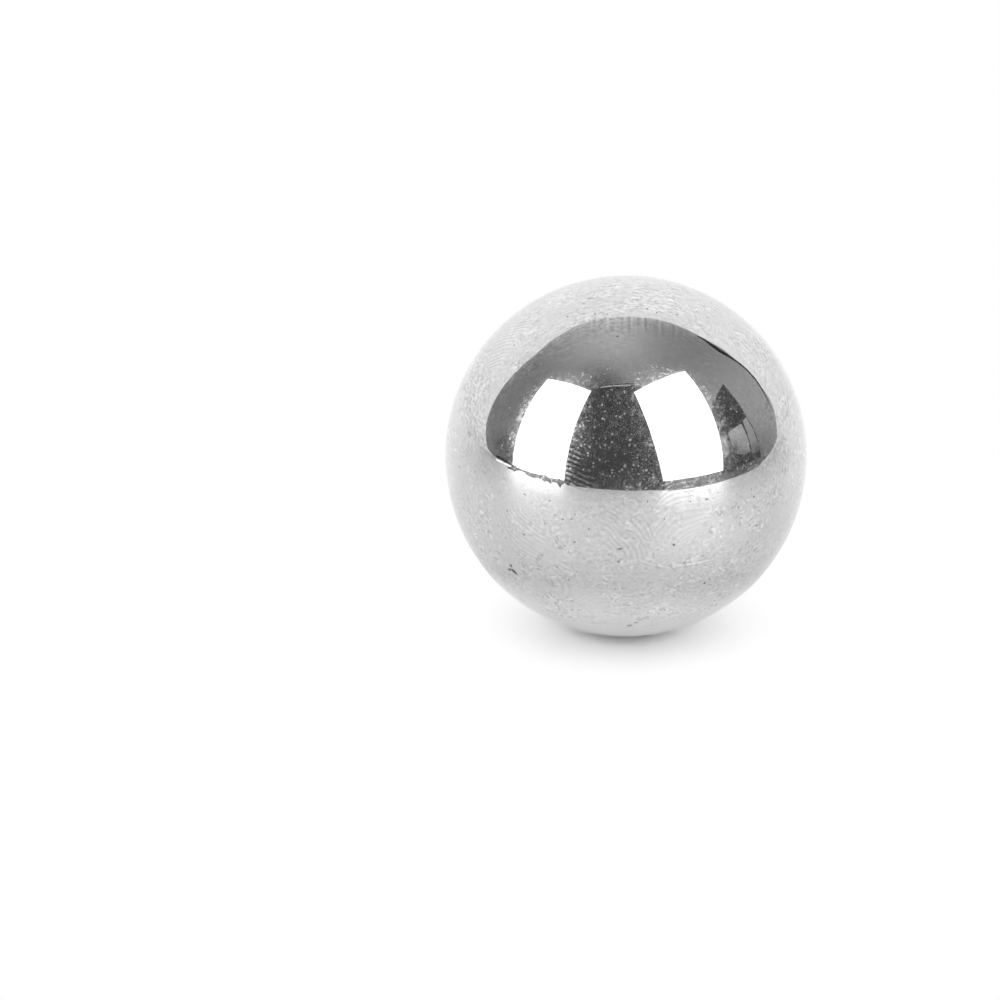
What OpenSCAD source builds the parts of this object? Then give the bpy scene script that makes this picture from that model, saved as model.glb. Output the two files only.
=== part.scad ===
// Steel ball
//
// One solid sphere of steel, ground and polished all over, with no flat, hole or seam.
// The origin is the ball's centre and +Z is up, so the ball touches what it lies on
// at (0, 0, -ball_d / 2).

/* [Ball] */
// Diameter of the ball (31.75 is 1 1/4 inch)
ball_d = 31.75; // [3:0.05:100]

/* [Hidden] */

// Facets round a great circle of the preview
ball_facets = 180;

// The whole ball: every section through the centre is a circle of ball_d
module ball() {
    color("silver")
        sphere(d = ball_d, $fn = ball_facets);
}

ball();
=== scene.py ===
import math
from types import SimpleNamespace

import bmesh
import bpy
import numpy as np
from mathutils import Matrix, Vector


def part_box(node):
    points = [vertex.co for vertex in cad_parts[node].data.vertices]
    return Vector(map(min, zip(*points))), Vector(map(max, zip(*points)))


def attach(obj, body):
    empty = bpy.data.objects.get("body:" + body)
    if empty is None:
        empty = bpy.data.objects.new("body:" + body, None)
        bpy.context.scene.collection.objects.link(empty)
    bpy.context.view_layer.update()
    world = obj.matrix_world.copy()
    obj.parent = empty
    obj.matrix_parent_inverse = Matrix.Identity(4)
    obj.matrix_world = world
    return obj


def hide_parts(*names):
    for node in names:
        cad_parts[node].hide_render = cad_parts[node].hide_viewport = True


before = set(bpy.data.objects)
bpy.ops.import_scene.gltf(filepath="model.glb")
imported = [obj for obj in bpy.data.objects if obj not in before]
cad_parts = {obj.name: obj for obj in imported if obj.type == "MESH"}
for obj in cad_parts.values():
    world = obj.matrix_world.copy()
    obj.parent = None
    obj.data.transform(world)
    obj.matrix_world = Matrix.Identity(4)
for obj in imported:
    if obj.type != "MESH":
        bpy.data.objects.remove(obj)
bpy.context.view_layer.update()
mm = 0.001
ballLow, ballHigh = (np.array(corner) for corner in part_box("ball"))
ballRadius = float((ballHigh - ballLow).min()) / 2
floorHeight = float(ballLow[2])
print("frame loaded, ball radius", round(ballRadius / mm, 3), "mm")


class Wire:
    # one output of a shader node; plain arithmetic on it adds Math nodes
    def __init__(self, maker, socket):
        self.maker = maker
        self.socket = socket

    def maths(self, operation, *others, swap=False):
        terms = (*others, self) if swap else (self, *others)
        return self.maker.add("Math", {"operation": operation}, dict(enumerate(terms)))

    def __add__(self, other):
        return self.maths("ADD", other)

    def __sub__(self, other):
        return self.maths("SUBTRACT", other)

    def __rsub__(self, other):
        return self.maths("SUBTRACT", other, swap=True)

    def __mul__(self, other):
        return self.maths("MULTIPLY", other)

    def __truediv__(self, other):
        return self.maths("DIVIDE", other)

    def __rtruediv__(self, other):
        return self.maths("DIVIDE", other, swap=True)

    __radd__ = __add__
    __rmul__ = __mul__

    def size(self):
        return self.maths("ABSOLUTE")

    def sine(self):
        return self.maths("SINE")

    def root(self):
        return self.maths("SQRT")

    def least(self, other):
        return self.maths("MINIMUM", other)

    def most(self, other):
        return self.maths("MAXIMUM", other)

    def between(self, start, end):
        # 0 before start and 1 past end, with a smooth change on the way; end may be the smaller of the two
        settings = {"interpolation_type": "SMOOTHSTEP"}
        return self.maker.add("MapRange", settings, {0: self, 1: start, 2: end})

    def beside(self, out):
        # another output of the same node
        return Wire(self.maker, self.socket.node.outputs[out])


class ShaderMaker:
    def __init__(self, tree):
        self.tree = tree
        tree.nodes.clear()

    def add(self, kind, settings=None, values=None, out=0):
        # a node of one type: its settings first, then its sockets' values or links
        node = self.tree.nodes.new("ShaderNode" + kind)
        for name, value in (settings or {}).items():
            setattr(node, name, value)
        for name, value in (values or {}).items():
            if isinstance(value, Wire):
                self.tree.links.new(value.socket, node.inputs[name])
            else:
                node.inputs[name].default_value = value
        return Wire(self, node.outputs[out]) if node.outputs else None

    def vector(self, operation, first, second, out=0):
        return self.add("VectorMath", {"operation": operation}, {0: first, 1: second}, out)

    def dot(self, first, second):
        return self.vector("DOT_PRODUCT", first, second, out="Value")

    def scaled(self, first, factor):
        return self.add("VectorMath", {"operation": "SCALE"}, {0: first, "Scale": factor})

    def axes(self, place):
        # the place's x, y and z
        x = self.add("SeparateXYZ", None, {0: place})
        return x, x.beside("Y"), x.beside("Z")

    def grey(self, tone):
        return self.add("CombineColor", None, {0: tone, 1: tone, 2: tone})

    def mixShaders(self, share, first, second):
        return self.add("MixShader", None, {0: share, 1: first, 2: second})


def mix(amount, first, second):
    # the first where amount is 0, and the second where it is 1
    return first + amount * (second - first)


def makeMaterial(name):
    material = bpy.data.materials.new(name)
    material.use_nodes = True
    return material, ShaderMaker(material.node_tree)


def makeObject(name, places, faces, material, smooth=True):
    mesh = bpy.data.meshes.new(name)
    mesh.from_pydata(np.asarray(places).tolist(), [], faces)
    mesh.update()
    mesh.polygons.foreach_set("use_smooth", np.full(len(mesh.polygons), smooth))
    mesh.materials.append(material)
    thing = bpy.data.objects.new(name, mesh)
    bpy.context.scene.collection.objects.link(thing)
    return thing


# The camera: the ball sits a little right of the middle of a square picture and above it.
shot = {
    "side": 1000,                      # pixels along the picture's edge
    "ballAt": (625.4, 456.0),          # where the ball's centre is in it
    "ballWidth": 361.4,                # and how wide the ball is
    "elevation": 17.5,                 # degrees that the camera looks down on the ball
    "distance": 7.0,                   # ball diameters from the camera to the ball's centre
    "sensor": 36.0,                    # mm
    "clip": (0.1, 400),                # how near and how far the camera sees, in ball radii
}
cameraReach = shot["distance"] * 2 * ballRadius
focalPixels = shot["ballWidth"] / 2 / math.tan(math.asin(ballRadius / cameraReach))


def aimCamera():
    # The camera's place, and the ways to its right, up and ahead. It is turned so that the ball's centre
    # falls on ballAt, with the horizon level: the pitch sets the centre's height in the picture, and the
    # yaw how far aside it is.
    side, elevation = shot["side"], math.radians(shot["elevation"])
    offX = (shot["ballAt"][0] - side / 2) / focalPixels
    offY = (side / 2 - shot["ballAt"][1]) / focalPixels
    reach = math.sqrt(1 + offX ** 2 + offY ** 2)
    pitch = math.atan(offY) + math.asin(math.sin(elevation) * reach / math.hypot(1, offY))
    yaw = -math.atan2(offX, math.cos(pitch) + math.sin(pitch) * offY)
    level = np.array([math.sin(yaw), math.cos(yaw), 0])
    ahead = level * math.cos(pitch) - np.array([0, 0, math.sin(pitch)])
    right = np.array([math.cos(yaw), -math.sin(yaw), 0])
    place = cameraReach * np.array([0, -math.cos(elevation), math.sin(elevation)])
    return place, right, np.cross(right, ahead), ahead


cameraPlace, cameraRight, cameraUp, cameraAhead = aimCamera()


def makeCamera():
    data = bpy.data.cameras.new("camera")
    data.sensor_width = shot["sensor"]
    data.lens = focalPixels * shot["sensor"] / shot["side"]
    data.clip_start, data.clip_end = (ballRadius * reach for reach in shot["clip"])
    camera = bpy.data.objects.new("camera", data)
    axes = np.column_stack([cameraRight, cameraUp, -cameraAhead])
    camera.matrix_world = Matrix.Translation(cameraPlace) @ Matrix(axes.tolist()).to_4x4()
    bpy.context.scene.collection.objects.link(camera)
    bpy.context.scene.camera = camera


def unit(vectors):
    return vectors / np.linalg.norm(vectors, axis=-1, keepdims=True)


def ballPoints(pixels):
    # Where the sight lines through these pixels meet the ball, and which way the ball mirrors them: each
    # line is followed to the nearer of its two meetings with the sphere, and turned about the normal there.
    pixels = np.asarray(pixels, float)
    across = (pixels[..., 0] - shot["side"] / 2) / focalPixels
    upward = (shot["side"] / 2 - pixels[..., 1]) / focalPixels
    sight = unit(cameraAhead + across[..., None] * cameraRight + upward[..., None] * cameraUp)
    along = sight @ cameraPlace
    reach = -along - np.sqrt(along ** 2 - cameraPlace @ cameraPlace + ballRadius ** 2)
    points = cameraPlace + reach[..., None] * sight
    normals = points / ballRadius
    mirrored = sight - 2 * (sight * normals).sum(-1, keepdims=True) * normals
    return points, mirrored


makeCamera()
print("camera made")

# The surround: white on all sides. The camera sees it as plain white. Heights and sides run from 0, level
# and straight ahead or behind, to 1, straight up and straight to a side.
surround = {
    "tones": (1.05, 1.17),             # low down and high up, as the ball mirrors it
    "rise": (-0.10, 0.45),             # and the heights between which it brightens
    "fill": 1.0,                       # its tone as a light on the sheet
    "sideShade": 0.13,                 # how much darker it is low down at both sides
    "sides": (0.8, 0.95),              # from where to where the sides set in
    "low": (0.0, 0.12),                # and over which heights this shade ends
}

# The white sheet that the ball lies on. Its tone holds painted light and shade: painted light close to the
# ball over its shadow, a painted shadow beside the contact, painted shade at the sides and flanks, and
# painted light behind the ball and in one patch in front. Distances are in ball radii from the ball's
# middle. Sides and flanks run from 0, in front or behind, to 1, straight to a side.
sheet = {
    "seen": (1.41, 1.24),              # its tone close to the ball, with painted light over the ball's shadow, and away from it, as the camera sees it
    "mirrored": (1.50, 0.98),          # and as the ball mirrors it
    "close": (1.11, 1.50),             # where the one ends and where the other begins
    "contactShade": 0.22,              # a painted contact shadow: how much darker it is seen right beside the contact
    "contact": (1.06, 1.02),           # from where this sets in to where it is full
    "sideShadeFrom": (3.0, 9.0),       # where it takes on the surround's side shade, as painted shade
    "flankShade": 0.07,                # painted shade: how much darker the ball mirrors it close by at both sides
    "flanks": (0.40, 0.85),            # from where to where the flanks set in
    "flankEnd": (1.33, 1.60),          # and over which distances they end
    "backGain": 0.10,                  # painted light: how much brighter the ball mirrors it behind the ball
    "back": (0.3, 2.5),                # how far behind this sets in and is full
    "glowGain": 0.17,                  # and a painted pool of light in one patch in front
    "glowAt": (1.6, -1.75),
    "glow": (1.35, 0.405),             # from the patch's rim to its bright middle
    "sheen": 0.85,                     # a faint gloss that the ball mirrors
    "sheenRoughness": 0.46,
    "sheenIor": 1.3,
    "fadeSeen": (2.8, 4.2),            # where the sheet melts into the surround
    "fadeMirrored": (30.0, 90.0),
    "outline": [                       # in mm
        (-1600, -275), (-190, -250), (-110, -292), (20, -290), (75, -275), (110, -195), (165, -160),
        (225, -112), (285, -10), (500, 125), (1600, 610), (1600, 1600), (-1600, 1600)],
}


def showTo(thing, camera=False, diffuse=False, glossy=False, shadow=False):
    thing.visible_camera, thing.visible_diffuse, thing.visible_glossy = camera, diffuse, glossy
    thing.visible_shadow, thing.visible_transmission = shadow, glossy
    thing.visible_volume_scatter = False


def rayKinds(make):
    # whether a point is seen by the camera, and whether it is mirrored
    seen = make.add("LightPath", out="Is Camera Ray")
    return seen, seen.beside("Is Glossy Ray").most(seen.beside("Is Transmission Ray"))


def makeSurround():
    world = bpy.data.worlds.new("surround")
    bpy.context.scene.world = world
    world.use_nodes = True
    world.cycles.sampling_method = "NONE"
    make = ShaderMaker(world.node_tree)
    seen, mirrored = rayKinds(make)
    x, _, z = make.axes(make.add("TexCoord", out="Generated"))
    tone = mix(z.between(*surround["rise"]), *surround["tones"])
    lowSides = x.size().between(*surround["sides"]) * (1 - z.between(*surround["low"]))
    tone = tone * (1 - surround["sideShade"] * lowSides)
    tone = mix(mirrored, surround["fill"], tone)
    tone = mix(seen, tone, 1.0)
    back = make.add("Background", None, {0: (1, 1, 1, 1), 1: tone})
    make.add("OutputWorld", None, {0: back})


def mirroredTone(x, y, away):
    # as the ball mirrors the sheet: by distance, with painted light close to the ball, painted shade at the
    # sides and flanks, and painted light behind and in one patch
    sideways = x.size() / (x * x + y * y).root()
    sides = sideways.between(*surround["sides"]) * away.between(*sheet["sideShadeFrom"])
    flanks = sideways.between(*sheet["flanks"]) * (1 - away.between(*sheet["flankEnd"]))
    glowX, glowY = (axis - middle for axis, middle in zip((x, y), sheet["glowAt"]))
    glow = (glowX * glowX + glowY * glowY).root().between(*sheet["glow"])
    tone = mix(away.between(*sheet["close"]), *sheet["mirrored"]) * (1 - surround["sideShade"] * sides)
    tone = tone * (1 - sheet["flankShade"] * flanks) * (1 + sheet["backGain"] * y.between(*sheet["back"]))
    return tone * (1 + sheet["glowGain"] * glow)


def seenTone(away):
    # as the camera sees the sheet: by distance, with painted light close to the ball, and a painted shadow
    # beside the contact
    tone = mix(away.between(*sheet["close"]), *sheet["seen"])
    return tone * (1 - sheet["contactShade"] * away.between(*sheet["contact"]))


def makeSheet():
    material, make = makeMaterial("white_sheet")
    seen, mirrored = rayKinds(make)
    x, y = (axis / ballRadius for axis in make.axes(make.add("TexCoord", out="Object"))[:2])
    away = (x * x + y * y + 1).root()
    tone = make.grey(mix(seen, mirroredTone(x, y, away), seenTone(away)))
    matt = make.add("BsdfDiffuse", None, {0: tone})
    sheen = make.add("BsdfGlossy", None, {"Color": (1, 1, 1, 1), "Roughness": sheet["sheenRoughness"]})
    share = make.add("Fresnel", None, {"IOR": sheet["sheenIor"]}) * mirrored * sheet["sheen"]
    lit = make.mixShaders(share, matt, sheen)
    fade = (seen * away.between(*sheet["fadeSeen"])).most(mirrored * away.between(*sheet["fadeMirrored"]))
    make.add("OutputMaterial", None, {0: make.mixShaders(fade, lit, make.add("BsdfTransparent"))})
    places = [(x * mm, y * mm, floorHeight) for x, y in sheet["outline"]]
    paper = makeObject("white_sheet", places, [tuple(range(len(places)))], material, smooth=False)
    showTo(paper, camera=True, diffuse=True, glossy=True, shadow=True)


# The dim room that the ball mirrors, through the surround's opening in front. Each part is drawn in pixels,
# where the ball mirrors it, and stands at its reach in metres from the ball's middle. It is an outline,
# which a round one curves between its points, or a line with its width at each point. Pools of light or
# shade in it have a middle, a spread and a tone. Its parts are no lamps: they glow, with their light and
# shade painted into their tones, and only the ball's reflection shows them.
room = {
    "opening": {
        "reach": 1.20, "tone": 0.27, "round": True, "outline": [
            (629, 317), (604, 318.5), (579, 325), (554, 339), (535, 355), (516, 372), (499, 393), (488, 417),
            (486, 438), (491, 453), (512, 466), (540, 482), (584, 494), (629, 496), (691, 492), (740, 480),
            (764, 460), (775, 444), (777, 430), (772, 404), (757, 382), (729, 354), (705, 339), (679, 326),
            (654, 319)],
        "pools": [
            ((610, 330), 36, 0.64), ((752, 400), 38, 0.48), ((602, 390), 16, 0.12), ((503, 443), 6, 0.12),
            ((509, 457), 8, 0.13), ((700, 488), 22, 0.34), ((750, 470), 20, 0.14)],
        # along its upper edge it is brighter, with fine upright streaks round one place
        "edge": {
            "heights": (360, 330),     # between which the edge's light sets in
            "gain": 0.14,
            "width": 0.10,             # share of the way in from the edge
            "streakGain": 0.42,
            "streakLong": 0.24,        # share of the way in
            "streaksAt": 624,
            "streaksSpread": 50,
            "streakWaves": (1.1, 0.73, 1.57),     # radians a pixel
        }},
    "edge_line": {
        "reach": 1.19, "tone": 0.02, "line": [
            (697, 336, 0.8), (704, 339.5, 1.4), (711, 344.6, 2.6), (720, 351, 3.0), (729, 356.5, 2.0),
            (738, 362.3, 1.6), (748, 371, 1.5), (756, 380.2, 1.4), (762.5, 390, 1.2), (768, 401, 0.9),
            (771.5, 409, 0.4)],
        "pools": [((770, 405), 10, 0.2)]},
    "back_wall": {
        "reach": 1.14, "tone": 0.072, "outline": [
            (556, 398), (575, 391.5), (597, 389), (632, 386.5), (655, 388), (675, 394), (668, 440),
            (664, 497), (620, 499), (556, 497)]},
    "rail_shade": {
        "reach": 1.135, "tone": 0.05, "line": [
            (598, 388.8, 4.5), (614, 387, 5), (630, 385.6, 5), (634.5, 384.4, 3)]},
    "rail": {
        "reach": 1.13, "tone": 0.75, "line": [
            (600.3, 387.5, 1.0), (610, 386.1, 1.2), (622, 385.4, 1.2), (631, 385.2, 1.1)]},
    "doorway": {
        "reach": 1.11, "tone": 0.075, "outline": [
            (723, 384), (729, 391), (736, 400), (742, 408.5), (746.5, 416.5), (753, 427), (758.5, 440.5),
            (760, 450), (760.5, 457.5), (747, 465), (733, 471.5), (722, 474), (712, 440), (712, 402)],
        "pools": [
            ((724.5, 441), 4, 0.7), ((724.5, 452), 4, 0.6), ((729, 439), 1.6, 0.05), ((748, 437), 7, 0.13),
            ((732, 457), 4, 0.12), ((727, 466), 4, 0.1), ((739, 469), 4, 0.16), ((752, 464), 4, 0.2)]},
    "inner_pane": {
        "reach": 1.08, "tone": 0.50, "outline": [
            (741, 423.5), (745.2, 431.5), (748.4, 440.6), (750.2, 451), (745, 455), (735, 453),
            (730.5, 441.4), (728.2, 432.3)],
        "pools": [((735, 430), 5, 0.62), ((733, 450), 5, 0.1), ((745, 455), 4, 0.2)]},
    "outer_pane": {
        "reach": 1.08, "tone": 0.42, "outline": [
            (742.6, 420.8), (746.3, 417.2), (753.2, 429.4), (758.2, 443.9), (759.3, 450.6), (752.6, 453.5),
            (750.8, 445), (747.4, 432.8)],
        "pools": [((747, 421), 6, 0.5), ((757, 449), 4.5, 0.17)]},
    "sill_line": {
        "reach": 1.07, "tone": 0.05, "line": [(738.5, 465, 3.6), (748, 460.4, 4.2), (760.3, 453, 5)]},
    # scraps of tape along the sheet's front edge, with a painted shade line along a bright strip of tape,
    # and a painted glint
    "scrap_shade": {
        "reach": 0.12, "tone": 0.01, "line": [
            (495.6, 455.8, 2.2), (499.5, 457.8, 2.8), (505, 460.9, 2.8), (509, 463, 2.4),
            (513, 466.4, 2.0)]},
    "scrap_light": {
        "reach": 0.119, "tone": 1.8, "line": [
            (496.5, 459.9, 1.8), (500.5, 461.3, 1.9), (505, 463.8, 1.9), (511.2, 466.5, 1.7)]},
    "scrap_end": {
        "reach": 0.12, "tone": 0.30, "outline": [
            (512.6, 464.8), (515.5, 465.5), (517.5, 468), (520.2, 470.4), (516.5, 470.6), (514.5, 472),
            (512, 470), (507.6, 468.4), (507.4, 466.6), (512, 466.6)],
        "pools": [((514.6, 468), 1.1, 0.75), ((509.8, 467.6), 1.2, 0.05)]},
    "scrap_line": {
        "reach": 0.12, "tone": 0.30, "outline": [
            (524.5, 472.4), (529, 474.3), (534, 475.8), (538.5, 475.0), (545, 474.6), (549.5, 478.2),
            (552, 478), (555.5, 479), (553.5, 481.5), (551, 484), (548.5, 480.5), (544.5, 482),
            (541.5, 479.5), (537, 477.6), (533, 477.9), (527, 475.2)],
        "pools": [((543, 480), 2, 0.1), ((550, 482), 2, 0.1)]},
    "scrap_tab": {
        "reach": 0.12, "tone": 0.40, "outline": [
            (555.8, 481.5), (559.2, 478.0), (563.6, 481.8), (560.2, 488)],
        "pools": [((560, 487), 2.5, 0.05)]},
    "scrap_glint": {
        "reach": 0.12, "tone": 1.3, "outline": [
            (561.6, 487.6), (564.6, 482.5), (566.4, 484.8), (564, 488.6)]},
}
roomCells = {
    "steps": 16,                       # from one point of an outline to the next
    "rings": 24,                       # from an outline to its middle
    "crowding": 0.7,                   # under 1, the rings lie closer together at the outline
}


def closedCurve(corners, isRound):
    # Steps from each corner to the next: straight, or on the cubic that leaves a corner along the line
    # between its two neighbours.
    before, start, end, after = (np.roll(corners, shift, 0)[:, None] for shift in (1, 0, -1, -2))
    t = np.linspace(0, 1, roomCells["steps"], endpoint=False)[None, :, None]
    curve = start + t * (end - start)
    if isRound:
        curve = 0.5 * (2 * start + (end - before) * t + (2 * before - 5 * start + 4 * end - after) * t ** 2
                       + (3 * start - before - 3 * end + after) * t ** 3)
    return curve.reshape(-1, 2)


def areaCells(part):
    # rings of points that shrink towards the middle, each point's share of the way out, and the faces
    curve = closedCurve(np.array(part["outline"], float), part.get("round", False))
    middle, n, rings = curve.mean(0), len(curve), roomCells["rings"]
    share = np.linspace(0, 1, rings + 1)[1:, None, None] ** roomCells["crowding"]
    pixels = np.concatenate([middle[None], (middle + share * (curve - middle)).reshape(-1, 2)])
    k = np.arange(n)
    fan = np.column_stack([np.zeros(n, int), 1 + k, 1 + (k + 1) % n]).tolist()
    ring = np.arange(rings - 1)[:, None] * n + 1
    quads = np.stack([ring + k, ring + n + k, ring + n + (k + 1) % n, ring + (k + 1) % n], -1)
    return pixels, np.concatenate([[0], np.repeat(share, n)]), fan + quads.reshape(-1, 4).tolist()


def lineCells(part):
    # the line's two sides, half its width away from it, and a face between them for each step
    line = np.array(part["line"], float)
    aside = unit(np.gradient(line[:, :2], axis=0)) @ [[0, 1], [-1, 0]] * line[:, 2:] / 2
    k = np.arange(len(line) - 1)
    faces = np.stack([k, k + 1, len(line) + k + 1, len(line) + k], -1).tolist()
    return np.concatenate([line[:, :2] + aside, line[:, :2] - aside]), np.ones(2 * len(line)), faces


def edgeLight(edge, pixels, share):
    # Light that falls off inward from the edge, and streaks that fall off more slowly: three waves across
    # the picture added up, under a bell curve round the streaks' middle.
    start, end = edge["heights"]
    upper = np.clip((pixels[:, 1] - start) / (end - start), 0, 1)
    light = edge["gain"] * np.clip(1 - (1 - share) / edge["width"], 0, 1) ** 2
    aside = pixels[:, 0] - edge["streaksAt"]
    waves = np.mean([np.sin(turn * aside + lag) for lag, turn in enumerate(edge["streakWaves"])], axis=0)
    streaks = waves * np.exp(-(aside / edge["streaksSpread"]) ** 2)
    streaks *= edge["streakGain"] * np.clip(1 - (1 - share) / edge["streakLong"], 0, 1) ** 1.5
    return upper * (light + streaks)


def roomTones(part, pixels, share):
    # the part's tone, changed towards each pool's tone near its middle, and the light along its edge
    tones = np.full(len(pixels), float(part["tone"]))
    for middle, spread, tone in part.get("pools", []):
        near = np.exp(-0.5 * (np.linalg.norm(pixels - middle, axis=-1) / spread) ** 2)
        tones += near * (tone - tones)
    if "edge" in part:
        tones += edgeLight(part["edge"], pixels, share)
    return tones


def makeRoom():
    # each point is thrown out along the line that the ball mirrors, up to the part's reach
    material, make = makeMaterial("dim_room")
    tone = make.add("Attribute", {"attribute_name": "tone"}, out="Fac")
    glow = make.add("Emission", None, {0: (1, 1, 1, 1), 1: tone})
    make.add("OutputMaterial", None, {0: glow})
    for name, part in room.items():
        pixels, share, faces = lineCells(part) if "line" in part else areaCells(part)
        points, mirrored = ballPoints(pixels)
        along = (points * mirrored).sum(-1)
        reach = -along + np.sqrt(along ** 2 - ballRadius ** 2 + part["reach"] ** 2)
        piece = makeObject(name, points + reach[:, None] * mirrored, faces, material)
        tones = piece.data.attributes.new("tone", "FLOAT", "POINT")
        tones.data.foreach_set("value", roomTones(part, pixels, share))
        showTo(piece, glossy=True)


# The softboxes: two bright flat rectangles, whose outer upper corner may hang.
softboxes = {
    "size": (343 * mm, 525 * mm),
    "strength": 3.6,
    "hangAside": 0.7,                  # how far a hanging corner moves inward for each bit that it drops
    "places": {                        # middle in metres, turn and lean in degrees, and the corner's drop
        "softbox_left": ((-0.385, -0.233, 0.250), -40.3, 13.5, 0.0),
        "softbox_right": ((0.247, -0.278, 0.251), 44.6, 25.6, 0.05),
    },
}


def makeSoftboxes():
    material, make = makeMaterial("softbox_cloth")
    material.cycles.emission_sampling = "NONE"
    make.add("OutputMaterial", None, {0: make.add("Emission", None, {1: softboxes["strength"]})})
    halfWidth, halfHeight = (size / 2 for size in softboxes["size"])
    for name, (middle, turn, lean, drop) in softboxes["places"].items():
        turn, lean = math.radians(turn), math.radians(lean)
        level = np.array([math.cos(turn), math.sin(turn), 0])
        back = np.array([-math.sin(turn), math.cos(turn), 0])
        upward = back * math.sin(lean) + np.array([0, 0, math.cos(lean)])
        hung = (1 - softboxes["hangAside"] * drop, 1 - drop)
        places = [middle + level * u * halfWidth + upward * v * halfHeight
                  for u, v in ((-1, -1), (1, -1), hung, (-1, 1))]
        showTo(makeObject(name, places, [(0, 1, 2, 3)], material, smooth=False), glossy=True)


makeSurround()
makeSheet()
makeRoom()
makeSoftboxes()
print("studio made")

# The ball's skin: a true sphere with small pits and nicks in it. A pit is long and wide in mm, turned by
# some degrees, and deep in mm.
ball = {
    "cells": 160,                      # cells along each edge of the square that wraps the ball
    "mapHalf": 0.498,                  # half the width that this square has in the bake map
    "pitCuts": 3,                      # times that the cells round a pit are halved
    "cutReach": 1.6,                   # how far round a pit, in half lengths of the pit
    "cutMargin": 0.88,                 # and further, in cells
    "pitReach": 1.7,                   # how far a pit's raised lip reaches, in pit radii
    "lipShare": 0.12,                  # the lip's height as a share of the pit's depth
    "pits": [
        ((509.6, 569.6), 0.56, 0.36, 20, 0.06), ((510.9, 565.8), 0.42, 0.36, 60, 0.06),
        ((514.0, 571.6), 0.84, 0.40, -48, 0.08), ((619.8, 548.8), 0.72, 0.16, 12, 0.04),
        ((629.8, 625.6), 0.64, 0.44, 22, 0.045), ((636.0, 622.6), 0.50, 0.34, 35, 0.035),
        ((618.3, 561.8), 0.26, 0.25, 0, 0.04), ((673.8, 544.8), 0.28, 0.27, 0, 0.06),
        ((706.7, 499.6), 0.27, 0.26, 0, 0.05), ((754.3, 496.9), 0.27, 0.24, 0, 0.07),
        ((704.6, 583.1), 0.30, 0.26, 20, 0.07), ((709.3, 578.9), 0.24, 0.22, 0, 0.05),
        ((524.5, 494.7), 0.26, 0.24, 0, 0.04), ((562.8, 519.3), 0.25, 0.24, 0, 0.05),
        ((523.8, 534.7), 0.27, 0.25, 0, 0.05), ((574.5, 542.0), 0.22, 0.22, 0, 0.05),
        ((557.0, 567.2), 0.22, 0.20, 0, 0.04), ((571.3, 600.8), 0.24, 0.20, 0, 0.04),
        ((738.6, 507.1), 0.22, 0.20, 0, 0.04), ((749.4, 557.9), 0.26, 0.20, 40, 0.04),
        ((656.7, 313.0), 0.26, 0.20, -20, 0.03), ((617.4, 336.0), 0.24, 0.22, 0, 0.07)],
    "faintPit": (0.22, 0.20, 0, 0.036),
    "faintPits": [
        (550, 501), (555, 515), (572, 519), (575.5, 514.5), (545, 524), (507, 511), (565, 546), (589, 529),
        (572, 610), (569, 580), (547, 596), (615, 589), (664, 519), (665, 610), (542, 555), (647, 501),
        (690, 502), (752, 489), (721, 514), (740, 518), (750, 525), (757, 525), (720, 594), (715, 601),
        (716, 605), (647, 309), (677, 315), (595, 314)],
    "otherPits": 100,                  # pits scattered over the rest of the ball
    "otherPitsFrom": 0.42,             # cosine of the angle between these and the middle of the placed pits
    "otherPitLong": (0.10, 0.26),
    "otherPitWide": (0.6, 1.0),        # as a share of its length
    "otherPitDeep": 0.2,               # likewise
    "seed": 7,
    "darkDepth": 0.074,                # a pit this deep in mm is painted black with shade
    "shadeRise": 1.7,                   # how soon the painted shade is at its full strength, inward from the rim
}


def squareToBall(u, v):
    # An even map of a square onto the ball. The middle faces -Y, the corners meet at +Y, and each cell
    # covers the same area. The distance from the middle, counted along the axes, gives the height
    # over the middle, and the share of it that is v gives the angle.
    depth = 1 - (np.abs(u) + np.abs(v))
    r = 1 - np.abs(depth)
    angle = math.pi / 4 * ((np.abs(v) - np.abs(u)) / np.maximum(r, 1e-12) + 1)
    flat = r * np.sqrt(2 - r ** 2)
    front = np.sign(depth) * (1 - r ** 2)
    return np.stack([np.sign(u) * flat * np.cos(angle), -front, np.sign(v) * flat * np.sin(angle)], -1)


def wrapSquare():
    # the square's edges fold in half and close on themselves, and its four corners are one point
    n = ball["cells"]
    line = np.linspace(-1, 1, n + 1)
    u, v = np.meshgrid(line, line, indexing="ij")
    number = np.arange((n + 1) ** 2).reshape(n + 1, n + 1)
    same, half = number.copy(), n // 2
    same[[0, n], half:] = number[[0, n], half::-1]
    same[half:, 0], same[half:, n] = number[half::-1, 0], number[half::-1, n]
    same[0, n] = same[n, 0] = same[n, n] = same[0, 0]
    kept, packed = np.unique(same, return_inverse=True)
    cells = [number[:-1, :-1], number[1:, :-1], number[1:, 1:], number[:-1, 1:]]
    corners = np.stack(cells, -1).reshape(-1, 4)
    places, faces = squareToBall(u, v).reshape(-1, 3)[kept], packed.reshape(-1)[corners]
    mesh = bpy.data.meshes.new("ball_skin")
    mesh.from_pydata(places.tolist(), [], faces.tolist())
    layer = mesh.uv_layers.new(name="OFBake")
    flatMap = np.stack([u, v], -1).reshape(-1, 2)[corners.reshape(-1)] * ball["mapHalf"] + 0.5
    layer.data.foreach_set("uv", flatMap.reshape(-1))
    return mesh


def tangents(directions):
    # two axes along the surface: across, level with the floor, and upward
    across = np.cross([0.0, 0.0, 1.0], directions)
    flat = np.linalg.norm(across, axis=-1, keepdims=True) < 1e-6
    across = unit(np.where(flat, [1.0, 0.0, 0.0], across))
    return across, np.cross(directions, across)


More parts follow.
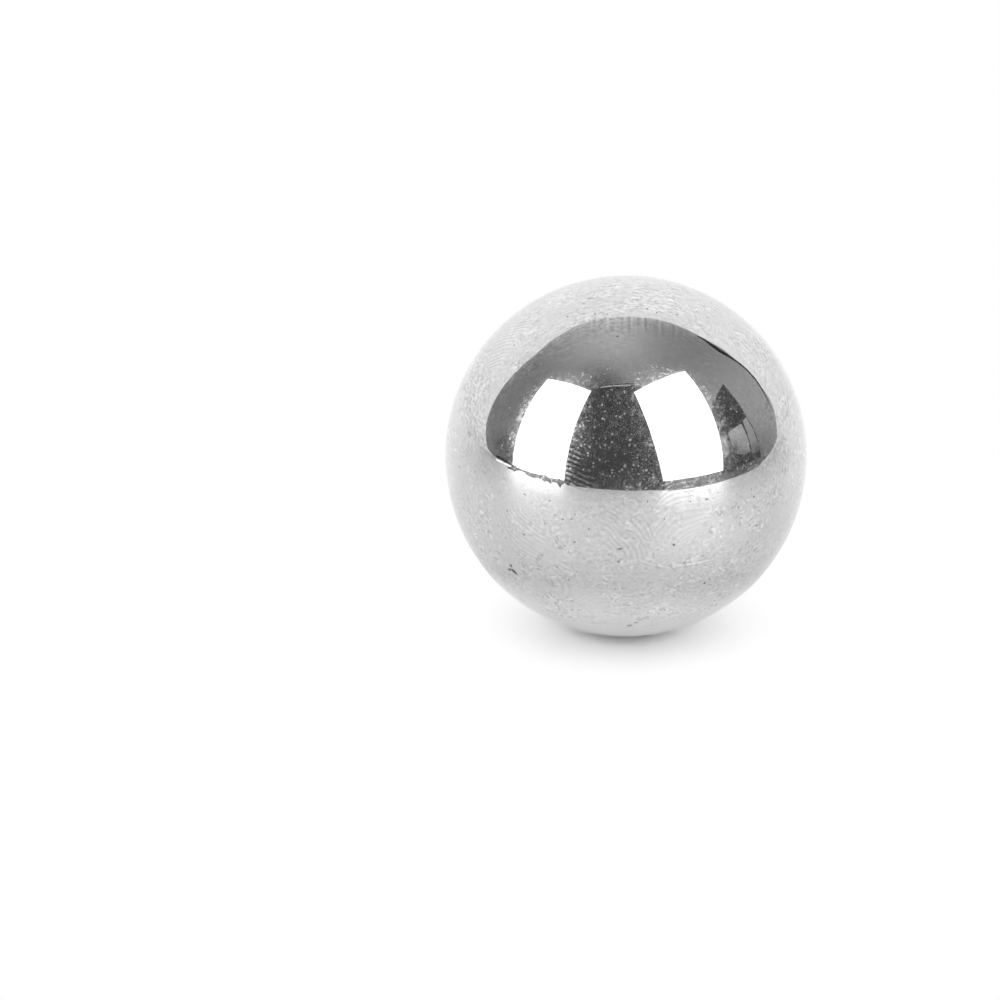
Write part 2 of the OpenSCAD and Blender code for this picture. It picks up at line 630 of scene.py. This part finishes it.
def placePits():
    # each pit's direction, its two axes along the surface, its half sizes, its depth and how dark its
    # painted shade is
    rng = np.random.default_rng(ball["seed"])
    centres = unit(ballPoints([pit[0] for pit in ball["pits"]] + ball["faintPits"])[0])
    sizes = np.array([pit[1:] for pit in ball["pits"]] + [ball["faintPit"]] * len(ball["faintPits"]))
    count, (shortest, longest) = ball["otherPits"], ball["otherPitLong"]
    scattered = unit(rng.normal(size=(2 * count, 3)))
    scattered = scattered[scattered @ unit(centres.mean(0)) < ball["otherPitsFrom"]][:count]
    long = shortest + rng.uniform(0, 1, count) ** 2 * (longest - shortest)
    wide = long * rng.uniform(*ball["otherPitWide"], count)
    others = np.column_stack([long, wide, rng.uniform(0, 180, count), ball["otherPitDeep"] * long])
    centres, sizes = np.concatenate([centres, scattered]), np.concatenate([sizes, others])
    across, upward = tangents(centres)
    turn = np.radians(sizes[:, 2:3])
    longAxis = across * np.cos(turn) + upward * np.sin(turn)
    halfLong, halfWide, deep = sizes[:, 0] * mm / 2, sizes[:, 1] * mm / 2, sizes[:, 3] * mm
    dark = np.minimum(sizes[:, 3] / ball["darkDepth"], 1)
    return centres, longAxis, np.cross(centres, longAxis), halfLong, halfWide, deep, dark


def halveCells(mesh, pits):
    # the cells round each pit are halved, each time in a smaller ring
    grid = bmesh.new()
    grid.from_mesh(mesh)
    for cut in range(ball["pitCuts"]):
        places = unit(np.array([face.calc_center_median() for face in grid.faces]))
        margin = ball["cutMargin"] * 2 / ball["cells"] / 2 ** cut
        wanted = np.zeros(len(places), bool)
        for centre, _, _, halfLong, *_ in zip(*pits):
            wanted |= places @ centre > math.cos(ball["cutReach"] * halfLong / ballRadius + margin)
        grid.faces.ensure_lookup_table()
        chosen = [grid.faces[index] for index in np.flatnonzero(wanted)]
        edges = list(dict.fromkeys(edge for face in chosen for edge in face.edges))
        bmesh.ops.subdivide_edges(grid, edges=edges, cuts=1, use_grid_fill=True)
    grid.to_mesh(mesh)
    grid.free()


def sinkPits(directions, pits):
    # How far the surface lies below the sphere, its slope along the surface, and how much painted shade
    # darkens it, more the deeper the pit. Where q2 is the square of the share of a pit's radius, its depth
    # follows the square of 1 - q2, and a low lip round it follows q2 times a wider bowl of the same kind.
    sink = np.zeros(len(directions))
    slope = np.zeros((len(directions), 3))
    pitShade = np.zeros(len(directions))
    reach2 = ball["pitReach"] ** 2
    for centre, longAxis, wideAxis, halfLong, halfWide, deep, dark in zip(*pits):
        # farther away than this, all that follows is 0
        near = np.flatnonzero(directions @ centre > 1 - reach2 * (halfLong / ballRadius) ** 2)
        away = (directions[near] - centre) * ballRadius
        a, b = away @ longAxis / halfLong, away @ wideAxis / halfWide
        q2 = a ** 2 + b ** 2
        bowl = np.clip(1 - q2, 0, None)
        lip = np.clip(1 - q2 / reach2, 0, None)
        sink[near] += deep * (bowl ** 2 - ball["lipShare"] * q2 * lip ** 2)
        perQ2 = -2 * bowl - ball["lipShare"] * (lip ** 2 - 2 * q2 * lip / reach2)
        along = 2 * deep * perQ2[:, None]
        slope[near] += along * (a[:, None] / halfLong * longAxis + b[:, None] / halfWide * wideAxis)
        pitShade[near] = np.maximum(pitShade[near], dark * np.clip(ball["shadeRise"] * bowl, 0, 1))
    return sink, slope, pitShade


def makeBallMesh():
    # each point is sunk towards the middle, and its normal leans by the slope of the pits
    mesh, pits = wrapSquare(), placePits()
    halveCells(mesh, pits)
    places = np.empty(len(mesh.vertices) * 3)
    mesh.vertices.foreach_get("co", places)
    directions = unit(places.reshape(-1, 3))
    sink, slope, pitShade = sinkPits(directions, pits)
    mesh.vertices.foreach_set("co", (directions * (ballRadius - sink[:, None])).reshape(-1))
    # painted shade in the pits, darker the deeper the pit, which the steel's tone reads
    mesh.attributes.new("pitShade", "FLOAT", "POINT").data.foreach_set("value", pitShade)
    mesh.polygons.foreach_set("use_smooth", np.ones(len(mesh.polygons), bool))
    mesh.update()
    mesh.normals_split_custom_set_from_vertices(unit(directions + slope).tolist())
    return mesh


# The finish: a near mirror under a thin film of grease and dust, with finger marks in it. Lengths are in
# mm. A noise has its scale, in waves a mm, and the values between which it goes from 0 to 1, its rise.
steel = {
    "tone": 0.61,                      # of the bare steel
    "mostTone": 0.95,                  # of the palest mark
    "pitShadeLoss": 0.85,                   # how much of its tone a pit loses to painted shade
    "mirrorRoughness": 0.025,
    "filmRoughness": 0.24,
    "dustRoughness": 0.36,
    "heights": (-2.0, 9.0),            # between which the ball's lower part gives way to its upper part
    "grain": 0.27,
    "grainNoise": {"scale": 3.4, "detail": 1.0},
    "grainHeight": 0.0002,
    "blotches": 0.10,
    "blotchNoise": {"scale": 0.22, "rough": 0.55},
    # two oval areas, one wiped clean and one where dust has settled: middle, half sizes, turn in degrees
    "cleaned": ((631, 404), 12.7, 7.4, 14),
    "dusty": ((633, 430), 11.6, 6.1, 0),
    "areaEdge": (0.65, 1.15),          # where they fade out, in squared shares of their half sizes
    "areaBehind": (-12, -14),          # and how far below their middle
    # wipe marks: noise drawn out along the ball
    "wipe": (0.17, 0.58),              # how strong they are low on the ball and high on it
    "strokeLong": 0.62,                # how far the noise is drawn out
    "strokeThin": 0.25,
    "strokeArch": 0.025,               # how strongly the marks arch
    "strokeLean": 0.09,                # and lean
    "strokeSides": (8.5, 12.5),        # X, from where they run along Y and not along X
    "strokeBend": (0.7, 0.5),          # scale and reach of the noise that bends them
    "dirty": (0.38, 1.0),              # how much of them and of the grain shows, in clean and dirty patches
    "dirtyNoise": {"scale": 0.34, "rise": (0.40, 0.56)},
    "cleanedOff": 0.72,                # the share that is gone in the cleaned area
    # curled marks low on the ball: waves of a twisted noise
    "curls": 0.22,                     # how strong they are
    "curlTurns": 22,                   # radians of wave for each 1 of the noise
    "curlNoise": {"scale": 1.15, "detail": 0.5, "twist": 0.8, "shift": (5, 9, 2)},
    "curlBreaks": {"scale": 1.6, "detail": 1.0, "rise": (0.47, 0.6)},
    "curlPatches": {"scale": 0.35, "shift": (31, 17, 5), "rise": (0.42, 0.58)},
    # the film: its share where it is thin and thick, and how much of it the marks add or take away
    "film": (0.08, 0.32),
    "filmMost": 0.9,
    "filmPatches": {"scale": 0.3, "rough": 0.6, "rise": (0.35, 0.7)},
    "filmCleaned": 0.6,
    "filmDusty": 0.035,
    "filmTouched": 0.9,
    "filmRidges": 0.38,
    "filmWiped": 0.06,
    "wipedRise": (0.0, 0.5),
    "filmCurls": 0.08,
    "curlsRise": (0.0, 1.0),
    "lumpNoise": {"scale": 2.4, "detail": 1.0, "twist": 1.0, "rise": (0.45, 0.72)},
    "filmLumps": (0.6, 2.5),           # how the film varies between the lumps and in them
    "ridgeLumps": (0.7, 1.4),          # and how the ridges do
    # specks of dust
    "speckSpacing": 0.32,
    "speckSize": 0.15,
    "speckSizes": (0.4, 1.1),          # smallest and largest, as shares of this
    "speckCore": 0.1,                  # the share of a speck that is at its full strength
    "speckRise": (0.22, 0.95),         # the random greys between which the specks grow stronger
    "dust": 0.85,
    "dustPatches": {"scale": 0.6, "detail": 1.0, "rise": (0.36, 0.62)},
    "dustSparse": 0.15,                # how much of it there is between the patches
    "dustOutside": 0.06,               # and outside the dusty area
    "dustRise": (0.02, 0.2),           # between which the dust's roughness takes over from the film's
    # pale lines where fingers slid: from, to, bulge and half width, strength
    "slides": [
        ((676, 565.5), (714, 558.5), -0.06, 0.17, 0.20), ((637, 558.5), (672, 568), -0.12, 0.14, 0.15),
        ((768.5, 507), (776, 495.5), 0.10, 0.16, 0.22), ((622, 596), (656, 590), -0.25, 0.13, -0.12)],
    "slideTones": (1.6, -0.6),         # of a line's pale middle and of its dark sides
    "slideMiddle": (1.0, 0.1),         # in half widths, from where each sets in to where it is full
    "slideSides": (2.6, 0.6),
    "slideEnds": (0.8, 1.0),           # where it fades, in half lengths
    "slideDepth": (1, 4),              # it ends over this depth, so that it shows on one side of the ball
    "slideGrain": 0.8,                 # its strength, which the grain varies
    # finger marks: middle, radius, centre of the rings across and up from the middle, strength
    "marks": [
        ((628, 532), 2.9, (-2.0, -1.8), 0.7), ((680, 513), 3.1, (1.6, -3.4), 0.5),
        ((516, 534), 3.4, (3.0, 3.4), 0.6), ((655, 556), 1.4, (0.2, 3.4), 0.4),
        ((600, 590), 3.4, (0.8, -3.4), 0.28), ((700, 590), 2.8, (1.2, 2.6), 0.35),
        ((576, 469), 2.1, (-3.0, -14.0), 2.8), ((678, 487), 1.9, (2.5, -9.0), 1.8)],
    "markInside": 0.68,                # the share of the radius within which a mark is at full strength
    "markBends": ((0.3, 0.8), (1.1, 0.08)),    # scale and reach of the noises that bend it
    "ridgePitch": 0.41,                # from ridge to ridge
    "ridgeTone": 0.26,                 # how much darker a ridge is
    "ridgeMost": 0.9,                  # the strength past which it gets no darker
    "ridgeGrain": 0.8,                 # how far the grain varies the ridges
    "touchTone": 0.4,                  # how far a mark is brighter between its ridges
    "touchCalm": 0.55,                 # and how much of the other marks it hides
    "touch": (0.2, 1.0),               # a mark's strength where the skin hardly touched and where it did
    "touchNoise": {"scale": 0.9, "detail": 3.0, "rough": 0.7, "rise": (0.38, 0.56)},
    "otherMarks": 8,                   # scattered over the rest of the ball
    "otherMarkGap": 0.42,              # least angle between the middles of two marks, in radians
    "otherMarkRadius": (2.6, 4.6),
    "otherMarkRings": (-5, 5),         # across and up from the middle
    "otherMarkStrength": (0.4, 0.9),
    "seed": 3,
}


def noise(make, place, scale, detail=2.0, rough=0.5, twist=0.0, shift=None, rise=None, out=0):
    # smooth noise from 0 to 1, read at a shifted place, and steepened between the two values of its rise
    if shift:
        place = make.vector("ADD", place, shift)
    values = {"Vector": place, "Scale": scale, "Detail": detail, "Roughness": rough, "Distortion": twist}
    drawn = make.add("TexNoise", {"noise_dimensions": "3D"}, values, out)
    return drawn.between(*rise) if rise else drawn


def bentPlace(make, place, scale, reach):
    # the place moved about by a smooth noise
    moved = make.vector("SUBTRACT", noise(make, place, scale, detail=0.0, out="Color"), (0.5, 0.5, 0.5))
    return make.vector("ADD", place, make.scaled(moved, 2 * reach))


def strokes(make, place):
    # Noise drawn out level round the ball, from -1 to 1: along X in front and behind, along Y at the sides.
    # The strokes arch, rising towards the middle of each side.
    x, y, z = make.axes(place)
    long, thin = 1 / steel["strokeLong"], 1 / steel["strokeThin"]
    drawn = []
    for along, across in ((x, y), (y, x)):
        height = z + along * (along * steel["strokeArch"] + steel["strokeLean"])
        spot = make.add("CombineXYZ", None, {0: along * long, 1: across * thin, 2: height * thin})
        drawn.append(noise(make, spot, 1.0, detail=1.0) * 2 - 1)
    return mix(x.size().between(*steel["strokeSides"]), *drawn)


def curledMarks(make, place, high):
    # the curls, from -1 to 1, are the sine of a noise, broken up by another; also gives where they are
    curls = (noise(make, place, **steel["curlNoise"]) * steel["curlTurns"]).sine()
    area = noise(make, place, **steel["curlPatches"]) * (1 - high)
    return curls * noise(make, place, **steel["curlBreaks"]), area


def specks(make, place):
    # Round dots: the distance to the nearest of a set of scattered points, over that point's own size,
    # gives 1 at the middle of a dot and 0 past its rim. Each dot has its own strength too.
    away = make.add("TexVoronoi", {"feature": "F1"}, {"Vector": place, "Scale": 1 / steel["speckSpacing"]})
    own = away.beside("Color")         # a random colour for each point, whose grey is used
    rim = steel["speckSize"] / steel["speckSpacing"]
    dots = (away / mix(own, *steel["speckSizes"])).between(rim, steel["speckCore"] * rim)
    return dots * own.between(*steel["speckRise"])


def settledDust(make, place, dusty):
    # specks in patches, mostly in the dusty area
    dense = mix(noise(make, place, **steel["dustPatches"]), steel["dustSparse"], 1.0)
    return dense * mix(dusty, steel["dustOutside"], 1.0) * steel["dust"] * specks(make, place)


def slideLines(make, place):
    # Each line follows a parabola between its ends. It is pale in the middle and dark along both sides.
    lines = []
    for start, end, bulge, width, strength in steel["slides"]:
        start, end = (point * ballRadius / mm for point in unit(ballPoints([start, end])[0]))
        half, middle = (end - start) / 2, (start + end) / 2
        reach = float(np.linalg.norm(half))
        aside = np.cross(unit(middle), half / reach)
        local = make.vector("SUBTRACT", place, tuple(middle))
        a, b = make.dot(local, tuple(half / reach ** 2)), make.dot(local, tuple(aside))
        deep = make.dot(local, tuple(unit(middle))).size().between(*steel["slideDepth"])
        off = ((b - bulge * (1 - a * a)).size() + deep) / width
        pale, dark = steel["slideTones"]
        line = off.between(*steel["slideSides"]) * dark + off.between(*steel["slideMiddle"]) * pale
        lines.append(line * (1 - a.size().between(*steel["slideEnds"])) * strength)
    return sum(lines)


def ovalArea(make, place, middle, halfWide, halfHigh, turn):
    # 1 inside an oval on the ball and 0 outside it: the squares of the two shares of its half sizes, added
    centre = unit(ballPoints([middle])[0])
    level, rise = tangents(centre)
    turn = math.radians(turn)
    across = level * math.cos(turn) + rise * math.sin(turn)
    upward = rise * math.cos(turn) - level * math.sin(turn)
    local = make.vector("SUBTRACT", place, tuple(centre[0] * ballRadius / mm))
    a, b = make.dot(local, tuple(across[0])) / halfWide, make.dot(local, tuple(upward[0])) / halfHigh
    behind = make.dot(local, tuple(centre[0])).between(*steel["areaBehind"])
    return 1 - (a * a + b * b + behind).between(*steel["areaEdge"])


def placeMarks():
    # each finger mark's middle, ring centre, radius and strength
    rng = np.random.default_rng(steel["seed"])
    centres = list(unit(ballPoints([mark[0] for mark in steel["marks"]])[0]))
    shapes = [mark[1:] for mark in steel["marks"]]
    while len(centres) < len(steel["marks"]) + steel["otherMarks"]:
        centre = unit(rng.normal(size=3))
        if np.max(np.array(centres) @ centre) < math.cos(steel["otherMarkGap"]):
            centres.append(centre)
            radius, rings = rng.uniform(*steel["otherMarkRadius"]), rng.uniform(*steel["otherMarkRings"], 2)
            shapes.append((radius, rings, rng.uniform(*steel["otherMarkStrength"])))
    across, upward = tangents(np.array(centres))
    for centre, right, up, (radius, (u, v), strength) in zip(centres, across, upward, shapes):
        middle = centre * ballRadius / mm
        yield middle, middle + u * right + v * up, radius, strength


def fingerMarks(make, place):
    # Ridges are rings round a point, one ridgePitch apart, bent by noise. Each mark fades out at its rim
    # and is broken up where the skin did not touch. Gives how strong the ridges are, and where they are.
    bent = place
    for scale, reach in steel["markBends"]:
        bent = bentPlace(make, bent, scale, reach)
    touch = mix(noise(make, place, **steel["touchNoise"]), *steel["touch"])
    ridges, areas = [], []
    for middle, ringAt, radius, strength in placeMarks():
        ring = make.vector("DISTANCE", bent, tuple(ringAt), out="Value")
        wave = (ring * (2 * math.pi / steel["ridgePitch"])).sine() * 0.5 + 0.5
        away = make.vector("DISTANCE", bent, tuple(middle), out="Value")
        areas.append(away.between(radius, steel["markInside"] * radius) * strength)
        ridges.append(wave * wave * areas[-1])
    return sum(ridges) * touch, (sum(areas) * touch).least(1.0)


def steelMarks(make, place):
    # What lies on the steel, and where. The grain, the wipe marks and the curls swing from -1 to 1.
    clean, dusty = ovalArea(make, place, *steel["cleaned"]), ovalArea(make, place, *steel["dusty"])
    high = make.axes(place)[2].between(*steel["heights"])
    grain = noise(make, place, **steel["grainNoise"]) * 2 - 1
    wiped = strokes(make, bentPlace(make, place, *steel["strokeBend"]))
    curls, curled = curledMarks(make, place, high)
    ridges, touched = fingerMarks(make, place)
    ridges = ridges * (1 - clean * (1 - dusty)) * (1 + steel["ridgeGrain"] * grain)
    return SimpleNamespace(clean=clean, dusty=dusty, high=high, grain=grain, wiped=wiped, curls=curls,
                           curled=curled, ridges=ridges, touched=touched)


def steelTone(make, place, marks):
    # The tone is changed by the wipe marks and the grain where it is dirty, and by blotches and curls, all
    # of it less where a finger touched. The slide lines and the finger marks come over that, and painted
    # shade darkens the pits.
    dirty = mix(noise(make, place, **steel["dirtyNoise"]), *steel["dirty"])
    dirty = dirty * (1 - steel["cleanedOff"] * marks.clean)
    change = (marks.wiped * mix(marks.high, *steel["wipe"]) + steel["grain"] * marks.grain) * dirty
    change = change + steel["blotches"] * (noise(make, place, **steel["blotchNoise"]) * 2 - 1)
    change = change + steel["curls"] * marks.curls * marks.curled
    change = change * (1 - steel["touchCalm"] * marks.touched)
    change = change + slideLines(make, place) * steel["slideGrain"] * (1 + marks.grain)
    ridged = marks.ridges.least(steel["ridgeMost"]) - steel["touchTone"] * marks.touched
    tone = ((1 + change - steel["ridgeTone"] * ridged) * steel["tone"]).least(steel["mostTone"])
    # painted shade in the pits, darker the deeper the pit
    pitShade = make.add("Attribute", {"attribute_name": "pitShade"}, out="Fac")
    return tone * (1 - steel["pitShadeLoss"] * pitShade)


def steelFilm(make, place, marks, dust):
    # The film lies in lumps and patches, thinner where it was wiped clean and where a finger touched. The
    # ridges, the wipe marks, the curls and the dust add to it.
    spared = marks.clean * (1 - marks.dusty * marks.dusty)
    thick = noise(make, place, **steel["filmPatches"]) * (1 - spared)
    lumps = noise(make, place, **steel["lumpNoise"])
    film = mix(thick, *steel["film"]) * (1 - steel["filmCleaned"] * spared)
    film = film + steel["filmDusty"] * marks.dusty
    film = film * (1 - steel["filmTouched"] * marks.touched) * mix(lumps, *steel["filmLumps"])
    film = film + steel["filmRidges"] * marks.ridges * mix(lumps, *steel["ridgeLumps"])
    film = film + steel["filmWiped"] * marks.wiped.between(*steel["wipedRise"])
    film = film + steel["filmCurls"] * marks.curled * marks.curls.between(*steel["curlsRise"])
    return (film + dust).least(steel["filmMost"])


def makeSteel():
    # two shells of the same tone, a near mirror and a rougher film, mixed by how much of the film shows
    material, make = makeMaterial("polished_steel")
    place = make.scaled(make.add("TexCoord", out="Object"), 1 / mm)
    marks = steelMarks(make, place)
    dust = settledDust(make, place, marks.dusty)
    film = steelFilm(make, place, marks, dust)
    filmRoughness = mix(dust.between(*steel["dustRise"]), steel["filmRoughness"], steel["dustRoughness"])
    bump = {"Strength": 1.0, "Distance": steel["grainHeight"] * mm, "Height": marks.grain}
    look = {
        "Base Color": make.grey(steelTone(make, place, marks)),
        "Metallic": 1.0,
        "Normal": make.add("Bump", None, bump),
    }
    shells = [make.add("BsdfPrincipled", None, {**look, "Roughness": roughness})
              for roughness in (steel["mirrorRoughness"], filmRoughness)]
    make.add("OutputMaterial", None, {0: make.mixShaders(film, *shells)})
    return material


mesh = makeBallMesh()
print("ball shaped,", sum(len(face.vertices) - 2 for face in mesh.polygons), "triangles")
mesh.materials.append(makeSteel())
skin = bpy.data.objects.new("ball_skin", mesh)
bpy.context.scene.collection.objects.link(skin)
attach(skin, "root")
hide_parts("ball")
print("ball finished")

bpy.context.scene.view_settings.view_transform = "Standard"
